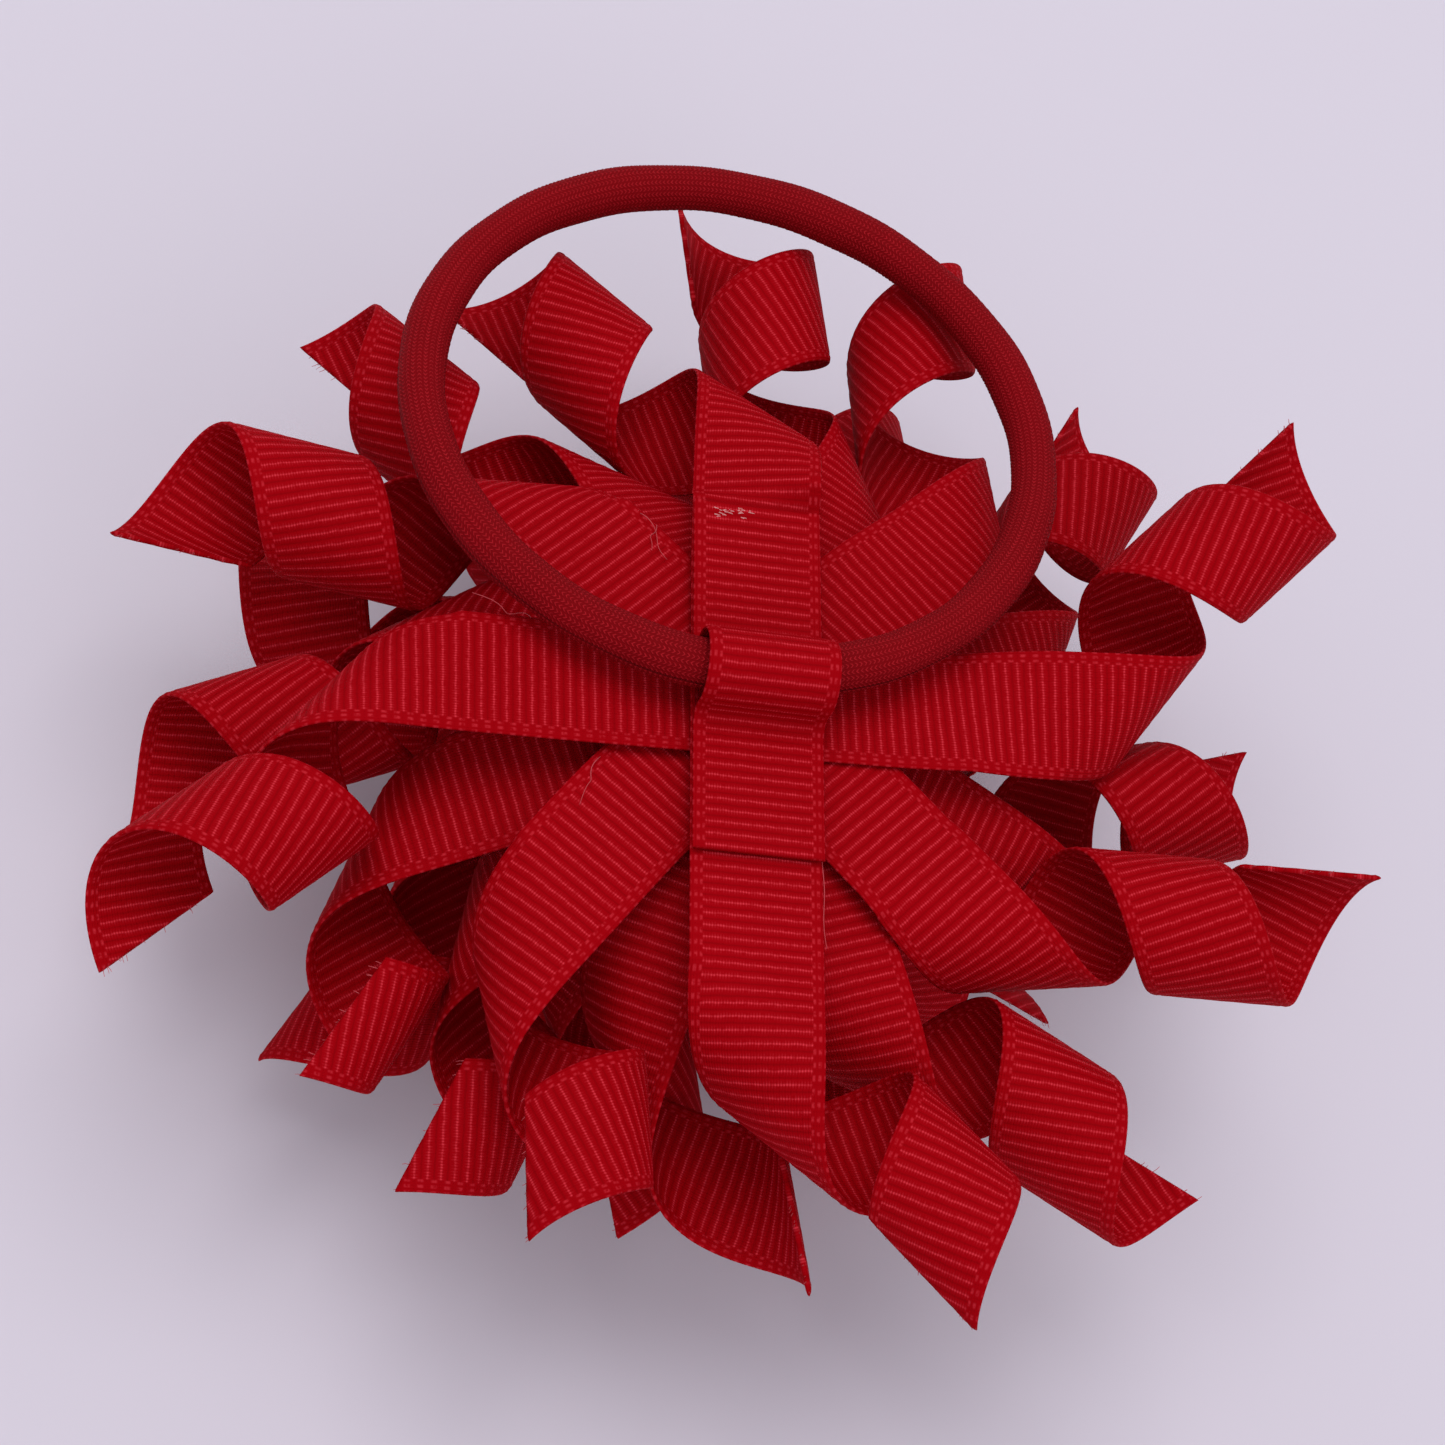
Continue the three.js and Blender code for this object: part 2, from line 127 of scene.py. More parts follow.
# The ribbons from the back of the bow down to its face. Heading is the direction of the far
# end, counted from +X towards +Y.
STRANDS = [
    dict(name="ribbon_01_upright", layer=0, heading=90.0,
         far=ribbon_end(-2, 0, 18.5, 80, 42, 25, -18),
         near=ribbon_end(0, 0, 22, 70, 46, 24, 0)),
    dict(name="ribbon_02_level", layer=1, heading=2.0,
         far=ribbon_end(4, 1, 24, 85, 46, 23, 18),
         near=ribbon_end(0, -1, 22, 80, 46, 23, 0)),
    dict(name="ribbon_03_falling", layer=2, heading=135.0,
         far=ribbon_end(-1, 8, 18.5, 80, 49, 23, 0),
         near=ribbon_end(0, 0, 18, 85, 46, 23, 3)),
    dict(name="ribbon_04_rising", layer=3, heading=48.0,
         far=ribbon_end(-5, 3, 22, 80, 40, 32, -8),
         near=ribbon_end(4, 4, 20, 65, 47, 23, 1)),
    dict(name="ribbon_05_steep_left", layer=4, heading=110.0,
         far=ribbon_end(1, 20, 17.5, 75, 58, 26, 4),
         near=ribbon_end(-1, 8, 19.5, 80, 47, 23, 1)),
    dict(name="ribbon_06_steep_right", layer=5, heading=67.0,
         far=ribbon_end(-4, 13, 19, 85, 54, 24, 0),
         near=ribbon_end(8, 26, 19, 55, 60, 29, 7)),
    dict(name="ribbon_07_low_left", layer=6, heading=157.0,
         far=ribbon_end(0, 19, 18, 80, 46, 23, -5),
         near=ribbon_end(0, 16, 18, 80, 46, 23, 0)),
    dict(name="ribbon_08_low_right", layer=7, heading=22.0,
         far=ribbon_end(-1, 16, 23, 85, 48, 23, 6),
         near=ribbon_end(-4, 17, 22, 60, 46, 23, 0)),
    dict(name="ribbon_09_lower_rising", layer=8, heading=46.0,
         far=ribbon_end(-2, 27, 23, 85, 48, 29, -14),
         near=ribbon_end(-13, 27, 18, 60, 54, 23, 0)),
    dict(name="ribbon_10_face_upright", layer=9, heading=92.0,
         far=ribbon_end(-1, 45, 17, 70, 56, 23, -4),
         near=ribbon_end(5, 41, 16, 60, 59, 25, 7)),
    dict(name="ribbon_11_face_rising", layer=10, heading=47.0,
         far=ribbon_end(16, 47, 17, 70, 54, 30, 2),
         near=ribbon_end(9, 46, 16.5, 60, 45, 26, -13)),
    dict(name="ribbon_12_face_level", layer=11, heading=2.0,
         far=ribbon_end(1, 44, 16, 70, 48, 23, -10),
         near=ribbon_end(13, 43, 16, 65, 58, 26, -15)),
    dict(name="ribbon_13_face_falling", layer=12, heading=137.0,
         far=ribbon_end(-2, 40, 19, 65, 54, 22, 16),
         near=ribbon_end(-6, 55, 18, 60, 60, 32, -14)),
    dict(name="ribbon_14_crown_level", layer=13, heading=20.0,
         far=ribbon_end(0, 68, 16, 60, 39, 25, -22),
         near=ribbon_end(-6, 76, 16, 60, 56, 23, -18)),
    dict(name="ribbon_15_crown_upright", layer=14, heading=110.0,
         far=ribbon_end(0, 63, 15, 60, 54, 24, -20),
         near=ribbon_end(-1, 69, 14.5, 60, 40, 30, 2)),
]


# Ribbon paths

def turned(vector, axis, angle):
    """Rodrigues' rotation of a vector about a unit axis."""
    along = axis * np.dot(axis, vector)
    across = vector - along
    return along + across * math.cos(angle) + np.cross(axis, vector) * math.sin(angle)


def bend_run(layer):
    return LOWEST_BEND_RUN + BEND_RUN_PER_LAYER * (len(STRANDS) - 1 - layer)


def winding_angle(end, wound):
    settled = min(1.0, wound / HELIX_SETTLE_RUN)
    return math.radians(end["lead"] + (end["helix"] - end["lead"]) * settled)


def line_slant(end, distance):
    """How far the ribbon's straight lines lean along it. They fan out where the curl starts."""
    wound = max(0.0, distance - end["flat"])
    return min(winding_angle(end, wound), math.atan(FAN_RATE * wound))


def bend_rate(end, layer, distance, along, across, normal):
    """How fast the ribbon's own frame turns, in radians per millimetre."""
    straight_start = LEVEL_RUN + bend_run(layer)
    if distance < LEVEL_RUN:
        return np.zeros(3)
    if distance < straight_start:
        dive = math.radians(end["dive"]) / bend_run(layer)
        turn = math.radians(end["turn"]) / bend_run(layer)
        return across * dive + normal * turn
    if distance < end["flat"]:
        return along * math.radians(end["twist"]) / (end["flat"] - straight_start)
    wound = distance - end["flat"]
    share = min(1.0, wound / (end["length"] - end["flat"]))
    radius = CURL_RADIUS + CURL_GROWTH * share
    helix = winding_angle(end, wound)
    strength = min(1.0, wound / WIND_UP_RUN) * math.cos(helix) / radius
    return strength * (along * math.sin(helix) + across * math.cos(helix))


def ribbon_path(heading, end, layer):
    """Points and frames from the middle outwards, every PATH_STEP / PATH_PARTS millimetres."""
    angle = math.radians(heading)
    along = np.array([math.cos(angle), math.sin(angle), 0.0])
    normal = np.array([0.0, 0.0, 1.0])
    across = np.cross(normal, along)
    point = np.array([0.0, 0.0, TOP_LAYER_Z - layer * LAYER_PITCH])
    rows = [(point, along, across, normal, 0.0)]
    steps = math.ceil((end["length"] + CUT_SLANT / 2) / PATH_STEP) + 1
    small = PATH_STEP / PATH_PARTS
    for step in range(steps):
        rate = bend_rate(end, layer, (step + 0.5) * PATH_STEP, along, across, normal)
        speed = float(np.linalg.norm(rate))
        axis = rate / speed if speed > LEAST_BEND_RATE else normal
        for _ in range(PATH_PARTS):
            half_way = turned(along, axis, speed * small / 2)
            point = point + half_way * small
            along = turned(along, axis, speed * small)
            across = turned(across, axis, speed * small)
            normal = turned(normal, axis, speed * small)
            slant = line_slant(end, len(rows) * small)
            rows.append((point, along, across, normal, math.tan(slant)))
    return [np.array(values) for values in zip(*rows)]


def whole_path(strand):
    """The near end backwards, then the far end, as one run with distances along it."""
    near = ribbon_path(strand["heading"] + 180.0, strand["near"], strand["layer"])
    far = ribbon_path(strand["heading"], strand["far"], strand["layer"])
    signs = (1.0, -1.0, -1.0, 1.0, 1.0)
    joined = [np.concatenate([sign * a[:0:-1], b]) for sign, a, b in zip(signs, near, far)]
    distance = (np.arange(len(joined[0])) - (len(near[0]) - 1)) * PATH_STEP / PATH_PARTS
    points, along, across, normals, lean = joined
    return dict(distance=distance, points=points, along=along, across=across, normals=normals, lean=lean)


# Ribbon meshes

def columns():
    """Places across the ribbon, closer together at the woven edges."""
    half = RIBBON_WIDTH / 2
    inner = half - SELVEDGE_WIDTH
    edge = [half, half - 0.12, half - 0.4, half - 0.7, inner, inner - 0.15]
    body = list(np.linspace(inner - 1.0, -inner + 1.0, 7))
    return np.array(edge + body + [-value for value in reversed(edge)])


def half_thickness(distance, offset):
    """Half the ribbon's thickness: round ribs across it, and bumpy rows along both edges."""
    half = RIBBON_WIDTH / 2
    inside = half - np.abs(offset)
    rib = np.abs(np.sin(math.pi * distance / RIB_PITCH)) ** 0.8
    bead = np.abs(np.cos(math.pi * distance / RIB_PITCH)) ** 1.5
    selvedge = np.clip((SELVEDGE_WIDTH - inside) / SELVEDGE_FADE, 0, 1)
    row = 0.5 + 0.5 * np.cos(2 * math.pi * inside / SELVEDGE_ROW)
    relief = (1 - selvedge) * rib + selvedge * (0.35 + 0.75 * bead * row)
    edge = np.sqrt(np.clip(inside / EDGE_ROUNDING, 0.02, 1))
    return (RIBBON_THICKNESS / 2 - RIB_HEIGHT / 2 + RIB_HEIGHT * relief) * edge


def blended(path, key, distance):
    """Rows of a path at any distances."""
    rows = path[key]
    return np.stack([np.interp(distance, path["distance"], rows[:, i]) for i in range(3)], -1)


def ruled_distance(path, woven, offsets):
    """Where along the path the straight line through each woven point crosses the middle."""
    line = np.empty_like(woven)
    for column, offset in enumerate(offsets):
        reach = np.maximum.accumulate(path["distance"] + offset * path["lean"])
        rising = reach + RISE_PER_MM * path["distance"]
        line[:, column] = np.interp(woven[:, column], rising, path["distance"])
    return line.ravel()


def strip_faces(count, wide):
    """Faces of a closed strip whose upper points come first, and its lower ones after them."""
    total = count * wide
    grid = np.arange(total).reshape(count, wide)
    a, b, c, d = grid[:-1, :-1], grid[:-1, 1:], grid[1:, 1:], grid[1:, :-1]
    upper = np.stack([a, d, c, b], -1).reshape(-1, 4)
    lower = np.stack([a, b, c, d], -1).reshape(-1, 4) + total
    left, right = grid[:, 0], grid[:, -1]
    rim_left = np.stack([left[:-1], left[:-1] + total, left[1:] + total, left[1:]], -1)
    rim_right = np.stack([right[:-1], right[1:], right[1:] + total, right[:-1] + total], -1)
    first, last = grid[0], grid[-1]
    cap_first = np.stack([first[:-1], first[1:], first[1:] + total, first[:-1] + total], -1)
    cap_last = np.stack([last[:-1], last[:-1] + total, last[1:] + total, last[1:]], -1)
    return np.concatenate([upper, lower, rim_left, rim_right, cap_first, cap_last])


def ribbon_mesh(name, path, start, stop, slants, phase):
    """A closed ribbon between two distances, each cut on its own slant."""
    offsets = columns()
    count = int(round((stop - start) * RIB_STEPS / RIB_PITCH)) + 1
    base = np.linspace(start, stop, count)
    share = offsets / RIBBON_WIDTH
    near_share = np.clip(1 - (base - start) / CUT_REACH, 0, 1)
    far_share = np.clip(1 - (stop - base) / CUT_REACH, 0, 1)
    near_cut = near_share[:, None] * share[None, :] * slants[0]
    far_cut = far_share[:, None] * share[None, :] * slants[1]
    woven = base[:, None] + near_cut + far_cut
    # Each point lies on the straight line of the surface that passes through it.
    line = ruled_distance(path, woven, offsets)
    flat = woven.ravel()
    offset = np.tile(offsets, count)
    lift = blended(path, "normals", line)
    lift /= np.linalg.norm(lift, axis=1)[:, None]
    surface = blended(path, "points", line)
    surface += blended(path, "across", line) * offset[:, None]
    surface += blended(path, "along", line) * (flat - line)[:, None]
    thick = half_thickness(flat + phase, offset)
    top = surface + lift * thick[:, None]
    bottom = surface - lift * thick[:, None]
    vertices = np.concatenate([top, bottom])
    attributes = {
        "along_mm": np.tile(flat + phase, 2),
        "across_mm": np.tile(offset, 2),
    }
    return quad_object(name, vertices, strip_faces(count, len(offsets)), attributes)


def quad_object(name, vertices_mm, faces, attributes):
    """A smooth mesh object from millimetres round the pivot, with point attributes."""
    mesh = bpy.data.meshes.new(name)
    vertices = np.asarray(vertices_mm) * MM + PIVOT
    mesh.vertices.add(len(vertices))
    mesh.vertices.foreach_set("co", vertices.ravel())
    faces = np.asarray(faces, dtype=np.int32)
    mesh.loops.add(faces.size)
    mesh.loops.foreach_set("vertex_index", faces.ravel())
    mesh.polygons.add(len(faces))
    mesh.polygons.foreach_set("loop_start", np.arange(0, faces.size, 4, dtype=np.int32))
    mesh.polygons.foreach_set("use_smooth", np.ones(len(faces), dtype=bool))
    mesh.update(calc_edges=True)
    mesh.validate()
    for key, values in attributes.items():
        layer = mesh.attributes.new(key, "FLOAT", "POINT")
        layer.data.foreach_set("value", np.asarray(values, dtype=np.float32))
    piece = bpy.data.objects.new(name, mesh)
    bpy.context.collection.objects.link(piece)
    return piece


# Materials

class Graph:
    """A short way of writing shader nodes."""

    def __init__(self, name):
        self.material = bpy.data.materials.new(name)
        self.material.use_nodes = True
        self.tree = self.material.node_tree
        self.shader = self.tree.nodes["Principled BSDF"]

    def put(self, socket, value):
        if isinstance(value, bpy.types.NodeSocket):
            self.tree.links.new(value, socket)
        else:
            socket.default_value = value

    def math(self, operation, a, b=0.0):
        node = self.tree.nodes.new("ShaderNodeMath")
        node.operation = operation
        for socket, value in zip(node.inputs, (a, b)):
            self.put(socket, value)
        return node.outputs[0]

    def scaled(self, value, factor, base):
        """base + factor x value"""
        return self.math("ADD", base, self.math("MULTIPLY", value, factor))

    def attribute(self, name):
        node = self.tree.nodes.new("ShaderNodeAttribute")
        node.attribute_name = name
        return node.outputs["Fac"]

    def noise(self, scale, detail, vector=None):
        node = self.tree.nodes.new("ShaderNodeTexNoise")
        node.inputs["Scale"].default_value = scale
        node.inputs["Detail"].default_value = detail
        source = vector if vector is not None else self.place()
        self.tree.links.new(source, node.inputs["Vector"])
        return node.outputs["Fac"]

    def place(self):
        node = self.tree.nodes.new("ShaderNodeTexCoord")
        return node.outputs["Object"]

    def vector(self, x, y):
        node = self.tree.nodes.new("ShaderNodeCombineXYZ")
        for socket, value in zip(node.inputs, (x, y)):
            self.put(socket, value)
        return node.outputs[0]

    def mix(self, share, first, second):
        node = self.tree.nodes.new("ShaderNodeMix")
        node.data_type = "RGBA"
        self.put(node.inputs["Factor"], share)
        self.put(node.inputs["A"], first)
        self.put(node.inputs["B"], second)
        return node.outputs["Result"]

    def smooth(self, value, low, high):
        node = self.tree.nodes.new("ShaderNodeMapRange")
        node.interpolation_type = "SMOOTHSTEP"
        self.put(node.inputs["Value"], value)
        node.inputs["From Min"].default_value = low
        node.inputs["From Max"].default_value = high
        return node.outputs["Result"]

    def bump(self, height, distance, strength):
        node = self.tree.nodes.new("ShaderNodeBump")
        node.inputs["Strength"].default_value = strength
        node.inputs["Distance"].default_value = distance
        self.put(node.inputs["Height"], height)
        return node.outputs["Normal"]

    def surface(self, base, roughness, normal=None, specular=None):
        """Connects a surface's colour, roughness and relief, sets its specular level, and gives its
        material.
        """
        self.put(self.shader.inputs["Base Color"], base)
        self.put(self.shader.inputs["Roughness"], roughness)
        if normal is not None:
            self.put(self.shader.inputs["Normal"], normal)
        if specular is not None:
            self.shader.inputs["Specular IOR Level"].default_value = specular
        return self.material

    def off_crest(self, value, pitch, shift=0.0):
        """0 on each repeat's middle line, 1 half a pitch away from it."""
        phase = self.math("ADD", self.math("DIVIDE", value, pitch), 0.5 + shift)
        centred = self.math("SUBTRACT", self.math("FRACT", phase), 0.5)
        return self.math("MULTIPLY", self.math("ABSOLUTE", centred), 2.0)


def colour(red, green, blue):
    """Linear light from 0-255 display values."""
    def linear(value):
        value /= 255
        return value / 12.92 if value <= 0.04045 else ((value + 0.055) / 1.055) ** 2.4
    return (linear(red), linear(green), linear(blue), 1.0)


def grosgrain():
    """Ribbed ribbon: a dotted line of painted highlight on each rib's crest, painted shade in the grooves
    between ribs, fine warp hairs, and beaded edges with painted highlights on the beads.
    """
    graph = Graph("grosgrain_ribbon")
    along = graph.attribute("along_mm")
    across = graph.attribute("across_mm")
    cloth = graph.vector(across, along)
    inside = graph.math("SUBTRACT", RIBBON_WIDTH / 2, graph.math("ABSOLUTE", across))
    edge = graph.smooth(inside, SELVEDGE_WIDTH + 0.05, SELVEDGE_WIDTH - 0.1)
    wobble = graph.math("MULTIPLY", graph.math("SUBTRACT", graph.noise(0.9, 2.0, cloth), 0.5), 0.16)
    row = graph.math("ADD", along, wobble)
    crest = graph.off_crest(row, RIB_PITCH, 0.5)
    line = graph.smooth(crest, 0.24, 0.05)
    warp = graph.off_crest(across, WARP_PITCH)
    hairs = graph.smooth(warp, 0.75, 0.2)
    broken = graph.smooth(graph.noise(3.1, 3.0, cloth), 0.3, 0.6)
    dotted = graph.math("MULTIPLY", line, graph.scaled(hairs, 0.6, 0.4))
    dotted = graph.math("MULTIPLY", dotted, graph.scaled(broken, 0.65, 0.35))
    # Warp hairs beside each crest, lightened there as a painted highlight.
    warp_hair_highlight = graph.math("MULTIPLY", graph.smooth(crest, 0.75, 0.2), graph.math("MULTIPLY", hairs, broken))
    bead = graph.smooth(graph.off_crest(along, RIB_PITCH), 0.62, 0.2)
    twin = graph.smooth(graph.off_crest(inside, SELVEDGE_ROW), 0.8, 0.25)
    beads = graph.math("MULTIPLY", bead, twin)
    # Bead pattern of the woven edges, used for relief and as a painted highlight on the beads.
    selvedge = graph.math("MULTIPLY", beads, graph.math("MULTIPLY", broken, 0.5))
    middle = graph.math("SUBTRACT", 1.0, edge)
    # Painted highlight masks: crest lines and the hairs beside them in the middle, beads at the edges.
    body = graph.scaled(warp_hair_highlight, 0.22, graph.math("MULTIPLY", dotted, 0.85))
    light = graph.scaled(selvedge, edge, graph.math("MULTIPLY", body, middle))
    tone = graph.noise(55.0, 3.0)
    deep = graph.mix(tone, colour(146, 0, 8), colour(162, 0, 13))
    # Painted shade: the grooves between the ribs are darkened towards a deeper red.
    groove_shade = graph.math("MULTIPLY", graph.smooth(crest, 0.72, 1.0), middle)
    base = graph.mix(graph.math("MULTIPLY", groove_shade, 0.4), deep, colour(118, 0, 5))
    # Painted highlight: a pale pink laid over the crests, hairs and edge beads.
    base = graph.mix(light, base, colour(212, 50, 64))
    rough = graph.scaled(graph.noise(400.0, 2.0), 0.16, 0.56)
    height = graph.scaled(hairs, 0.35, graph.math("MULTIPLY", dotted, 0.6))
    height = graph.scaled(selvedge, 0.8, height)
    return graph.surface(base, rough, graph.bump(height, 0.04 * MM, 0.9), 0.02)


def braid():
    """Braided sleeve of the elastic: short slanted stitches in rows that lean both ways, their middles
    lightened as a painted highlight.
    """
    graph = Graph("braided_elastic")
    along = graph.attribute("along_mm")
    around = graph.attribute("around_mm")
    column = graph.off_crest(around, BRAID_COLUMN)
    slant = graph.math("MULTIPLY", graph.math("SUBTRACT", column, 0.5), BRAID_LEAN)
    row = graph.math("ADD", along, slant)
    stitch = graph.smooth(graph.off_crest(row, BRAID_PITCH), 0.7, 0.15)
    seam = graph.smooth(graph.off_crest(around, BRAID_COLUMN / 2), 0.9, 0.55)
    thread = graph.math("MULTIPLY", stitch, seam)
    uneven = graph.noise(1.6, 3.0, graph.vector(around, along))
    # Painted highlight on the middles of the stitches, unevenly strong.
    light = graph.math("MULTIPLY", thread, graph.scaled(uneven, 0.8, 0.15))
    tone = graph.noise(120.0, 2.0)
    base = graph.mix(tone, colour(110, 0, 6), colour(130, 0, 10))
    # Painted highlight: a pale pink laid over the stitch middles.
    base = graph.mix(light, base, colour(182, 30, 40))
    rough = graph.scaled(uneven, 0.2, 0.66)
    return graph.surface(base, rough, graph.bump(thread, 0.06 * MM, 0.9), 0.06)


def plain(name, low, high, scale, roughness):
    """A mottled finish for the small inner pieces."""
    graph = Graph(name)
    tone = graph.noise(scale, 4.0)
    base = graph.mix(tone, low, high)
    rough = graph.scaled(tone, 0.15, roughness)
    return graph.surface(base, rough, graph.bump(tone, 0.02 * MM, 0.6))


def spun_thread():
    """Two-ply sewing thread."""
    graph = Graph("spun_thread")
    tone = graph.noise(900.0, 3.0)
    base = graph.mix(tone, colour(120, 0, 12), colour(190, 30, 44))
    rough = graph.scaled(tone, 0.2, 0.6)
    return graph.surface(base, rough, graph.bump(tone, 0.03 * MM, 0.8))


def table_top():
    """Pale matt lilac-grey card."""
    graph = Graph("table_card")
    tone = graph.noise(9.0, 4.0)
    base = graph.mix(tone, colour(213, 206, 220), colour(217, 210, 224))
    return graph.surface(base, graph.scaled(tone, 0.1, 0.8), specular=0.1)


def dress(piece, material):
    piece.data.materials.clear()
    piece.data.materials.append(material)


# Pieces

def build_strand(strand, material, index):
    near, far = strand["near"]["length"], strand["far"]["length"]
    name = strand["name"].replace("ribbon", "grosgrain")
    shift = WEAVE_SHIFT_PER_RIBBON * index
    piece = ribbon_mesh(name, whole_path(strand), -near, far, (CUT_SLANT, CUT_SLANT), shift)
    dress(piece, material)
    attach(piece, ROOT)
    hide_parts(strand["name"])


def arc_rows(centre, radius, tilts, steps, facing):
    """Places and facing angles along an arc in the strap's middle plane, but for its last one."""
    rows = []
    for tilt in np.linspace(*tilts, steps, endpoint=False):
        y = centre[0] + radius * math.cos(tilt)
        z = centre[1] + radius * math.sin(tilt)
        rows.append((y, z, tilt + facing))
    return rows


def strap_path():
    """The strap's middle line from its near cut to its far cut: flap, fillet, arch, fillet, flap.
    The cloth hugs the cord a little closer than the tunnel does."""
    low, high = (np.array(corner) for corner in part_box("tie_strap"))
    low = (low - PIVOT) / MM
    high = (high - PIVOT) / MM
    arch = STRAP_ARCH_RADIUS
    flap_z = low[2] + RIBBON_THICKNESS / 2
    fillet = STRAP_FILLET
    fillet_z = flap_z + fillet
    fillet_y = math.sqrt((arch + fillet) ** 2 - fillet_z ** 2)
    lean = math.atan2(fillet_z, fillet_y)
    rows = []
    for y in np.linspace(low[1], -fillet_y, STRAP_RUN_STEPS, endpoint=False):
        rows.append((y, flap_z, math.pi / 2))
    near_fillet = (-fillet_y, fillet_z)
    far_fillet = (fillet_y, fillet_z)
    lowest = 3 * math.pi / 2
    rows += arc_rows(near_fillet, fillet, (-math.pi / 2, lean), STRAP_FILLET_STEPS, math.pi)
    rows += arc_rows((0.0, 0.0), arch, (math.pi - lean, lean), STRAP_RUN_STEPS, 0.0)
    rows += arc_rows(far_fillet, fillet, (math.pi - lean, lowest), STRAP_FILLET_STEPS, -math.pi)
    for y in np.linspace(fillet_y, high[1], STRAP_RUN_STEPS):
        rows.append((y, flap_z, math.pi / 2))
    points = np.array([(0.0, y, z) for y, z, _ in rows])
    normals = np.array([(0.0, math.cos(tilt), math.sin(tilt)) for _, _, tilt in rows])
    along = np.stack([points[:, 0], normals[:, 2], -normals[:, 1]], -1)
    across = np.tile(np.array([-1.0, 0.0, 0.0]), (len(rows), 1))
    steps = np.linalg.norm(np.diff(points, axis=0), axis=1)
    distance = np.concatenate([[0.0], np.cumsum(steps)])
    level = np.zeros(len(rows))
    return dict(distance=distance, points=points, along=along, across=across, normals=normals, lean=level)


def build_strap(material):
    path = strap_path()
    length = float(path["distance"][-1])
    piece = ribbon_mesh("strap_ribbon", path, 0.0, length, (0.0, 0.0), STRAP_WEAVE_SHIFT)
    dress(piece, material)
    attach(piece, ROOT)
    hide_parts("tie_strap")


def braided_radius(along, around, turn):
    """The sleeve's outer radius: raised stitches on a cord that is a little uneven."""
    column = np.abs((around / BRAID_COLUMN + 0.5) % 1.0 - 0.5) * 2
    row = along + (column - 0.5) * BRAID_LEAN
    stitch = 0.5 + 0.5 * np.cos(2 * math.pi * row / BRAID_PITCH)
    swell = 0.05 * np.sin(along * 0.31) + 0.03 * np.sin(along * 0.83 + turn)
    return CORD_RADIUS - 0.1 + BRAID_HEIGHT * stitch + swell


def tie_ring(angle, turn, radius):
    """Points on a tube round the tie's circle, which starts and ends at the pivot."""
    reach = TIE_RADIUS + radius * np.cos(turn)
    x = np.sin(angle) * reach
    y = TIE_RADIUS - np.cos(angle) * reach
    z = radius * np.sin(turn)
    return np.stack([x, y, z], -1).reshape(-1, 3)


def tube_faces(stations, rounds):
    """Faces of an open tube with an outer skin, then an inner one, and a rim at both ends."""
    total = stations * rounds
    grid = np.arange(total).reshape(stations, rounds)
    after = np.roll(grid, -1, axis=1)
    skin = np.stack([grid[:-1], grid[1:], after[1:], after[:-1]], -1).reshape(-1, 4)
    bore = np.stack([grid[:-1], after[:-1], after[1:], grid[1:]], -1).reshape(-1, 4) + total
    first = np.stack([grid[0], after[0], after[0] + total, grid[0] + total], -1)
    last = np.stack([grid[-1], grid[-1] + total, after[-1] + total, after[-1]], -1)
    return np.concatenate([skin, bore, first, last])


def tie_turn():
    """The turn of the tie at rest: tilted down, then turned to its heading."""
    tilt = math.radians(-TIE_TILT)
    heading = math.radians(TIE_HEADING)
    tilt_cos, tilt_sin = math.cos(tilt), math.sin(tilt)
    heading_cos, heading_sin = math.cos(heading), math.sin(heading)
    about_x = np.array([[1, 0, 0], [0, tilt_cos, -tilt_sin], [0, tilt_sin, tilt_cos]])
    about_z = np.array([[heading_cos, -heading_sin, 0], [heading_sin, heading_cos, 0], [0, 0, 1]])
    return about_z @ about_x


def build_tie_cover(material):
    """The braided sleeve, as one tube round the circle, open at the joint."""
    gap = math.radians(COVER_GAP_ANGLE)
    angles = np.linspace(gap, 2 * math.pi - gap, COVER_STATIONS)
    turns = np.arange(COVER_ROUNDS) * 2 * math.pi / COVER_ROUNDS
    angle, turn = np.meshgrid(angles, turns, indexing="ij")
    along = angle * TIE_RADIUS
    around = turn * CORD_RADIUS
    outer = tie_ring(angle, turn, braided_radius(along, around, turn))
    inner = tie_ring(angle, turn, np.full_like(turn, CORD_RADIUS - COVER_WALL))
    vertices = np.concatenate([outer, inner]) @ tie_turn().T
    attributes = {"along_mm": np.tile(along.ravel(), 2), "around_mm": np.tile(around.ravel(), 2)}
    piece = quad_object("braided_sleeve", vertices, tube_faces(COVER_STATIONS, COVER_ROUNDS), attributes)
    dress(piece, material)
    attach(piece, TIE)
    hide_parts("elastic_cover")


def on_ribbon(path, distance, offset, lift):
    """A point above a ribbon's face, at a distance along it and an offset across it."""
    row = [blended(path, key, np.array([distance]))[0] for key in ("points", "across", "normals")]
    return row[0] + row[1] * offset + row[2] * lift


def wavy(start, end, sway, seed, count=14):
    """A loose fibre's line between two points, swaying off the straight."""
    chance = random.Random(seed)
    share = np.linspace(0, 1, count)[:, None]
    line = start + (end - start) * share
    for harmonic in (1, 2, 3):
        push = np.array([chance.uniform(-1, 1) for _ in range(3)]) * sway / harmonic
        line = line + np.sin(math.pi * harmonic * share) * push
    return line


